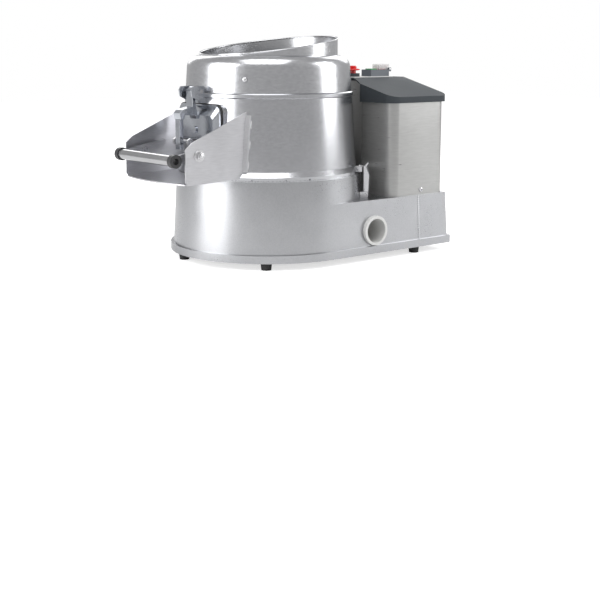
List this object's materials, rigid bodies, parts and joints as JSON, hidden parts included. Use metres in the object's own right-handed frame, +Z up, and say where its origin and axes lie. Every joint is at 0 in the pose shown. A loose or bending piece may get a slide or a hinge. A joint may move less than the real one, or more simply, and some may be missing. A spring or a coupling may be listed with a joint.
{
  "type": "potato peeler machine",
  "caption": "Table-top potato peeler with a steel drum, slanted hopper, front door and chute, and a motor cover behind.",
  "frame": {"origin": "centre of the bounding box's underside, on the table plane under the rubber feet", "axes": "+Z up, +Y to the motor cover, -Y to the door and chute, +X to the drain"},
  "size_m": [0.396, 0.6324, 0.4367],
  "materials": {
    "cast": "satin painted casting, silver grey",
    "steel": "brushed stainless sheet",
    "polished": "polished stainless",
    "bright": "turned or zinc plated steel",
    "rubber": "black rubber",
    "black": "moulded black plastic",
    "slate": "moulded dark slate plastic",
    "pale": "pale grey plastic",
    "red": "bright red gloss plastic",
    "green": "green gloss plastic",
    "smoke": "dark blue moulded plastic",
    "grit": "bonded abrasive grit, rough",
    "iron": "grey casting",
    "motor": "painted finned can"
  },
  "bodies": {
    "base": {"abrasive_lining": "grit", "base_tub": "cast", "bearing_housing": "iron", "bottom_plate": "steel", "cable_gland": "black", "chute_tray": "steel", "clamp_bracket_left": "bright", "clamp_bracket_right": "bright", "clamp_pin_left": "bright", "clamp_pin_right": "bright", "control_plate": "pale", "cover_cap": "slate", "cover_screws": "bright", "door_seal": "rubber", "drain_collar": "pale", "drain_elbow": "pale", "drive_belt": "rubber", "drum_catch_left": "bright", "drum_catch_right": "bright", "drum_lid": "steel", "drum_shell": "steel", "flap_pin": "bright", "handle_pivots": "bright", "hinge_bracket": "polished", "hinge_pin": "bright", "lid_stud": "bright", "motor": "motor", "motor_cover": "steel", "motor_fan_cap": "black", "motor_plate": "steel", "motor_plate_bolts": "bright", "outlet_neck": "steel", "rubber_feet": "rubber", "shaft_bearings": "bright", "shaft_seal": "rubber", "start_capacitor": "black", "stop_collar": "slate", "switch_case": "smoke", "waste_bowl": "steel", "water_inlet": "bright"},
    "disc": {"main_shaft": "bright", "abrasive_disc": "grit", "sweeper_vanes": "steel", "disc_cap_nut": "bright", "driven_pulley": "iron"},
    "motor_rotor": {"motor_shaft": "bright", "motor_pulley": "iron"},
    "door": {"door_pan": "polished", "door_strap": "polished", "door_grip_bar": "polished", "grip_cross_bolt": "bright"},
    "handle": {"handle_arms": "steel", "handle_tube": "polished", "handle_end_caps": "black"},
    "clamp_right": {"clamp_strap_right": "bright"},
    "clamp_left": {"clamp_strap_left": "bright"},
    "start_key": {"start_button": "green"},
    "stop_key": {"stop_button": "red"},
    "stop_mushroom": {"emergency_stop": "red"},
    "flap": {"switch_flap": "smoke"}
  },
  "joints": [
    {"name": "disc_spin", "type": "hinge", "parent": "base", "child": "disc", "pos_m": [0, -0.01975, 0.14], "axis": [0, 0, 1], "continuous": true},
    {"name": "motor_spin", "type": "hinge", "parent": "base", "child": "motor_rotor", "pos_m": [0, 0.22725, 0.09], "axis": [0, 0, 1], "continuous": true},
    {"name": "door_hinge", "type": "hinge", "parent": "base", "child": "door", "pos_m": [0, -0.19675, 0.331], "axis": [-1, 0, 0], "range_deg": [0, 65]},
    {"name": "handle_pivot", "type": "hinge", "parent": "base", "child": "handle", "pos_m": [0, -0.25775, 0.219], "axis": [-1, 0, 0], "range_deg": [0, 45]},
    {"name": "clamp_right_hinge", "type": "hinge", "parent": "base", "child": "clamp_right", "pos_m": [0.15129, 0.1072, 0.125], "axis": [-0.6428, 0.766, 0], "range_deg": [0, 40]},
    {"name": "clamp_left_hinge", "type": "hinge", "parent": "base", "child": "clamp_left", "pos_m": [-0.15129, 0.1072, 0.125], "axis": [-0.6428, -0.766, 0], "range_deg": [0, 40]},
    {"name": "start_press", "type": "slide", "parent": "base", "child": "start_key", "axis": [0, 0, -1], "range_m": [0, 0.002], "stiffness_N_per_m": 200},
    {"name": "stop_press", "type": "slide", "parent": "base", "child": "stop_key", "axis": [0, 0, -1], "range_m": [0, 0.002], "stiffness_N_per_m": 200},
    {"name": "emergency_press", "type": "slide", "parent": "base", "child": "stop_mushroom", "axis": [0, 0, -1], "range_m": [0, 0.004]},
    {"name": "flap_hinge", "type": "hinge", "parent": "base", "child": "flap", "pos_m": [0.01, 0.28825, 0.367], "axis": [-1, 0, 0], "range_deg": [0, 100]}
  ],
  "couplings": [
    {"joint": "motor_spin", "follows": "disc_spin", "ratio": 5.0714}
  ]
}
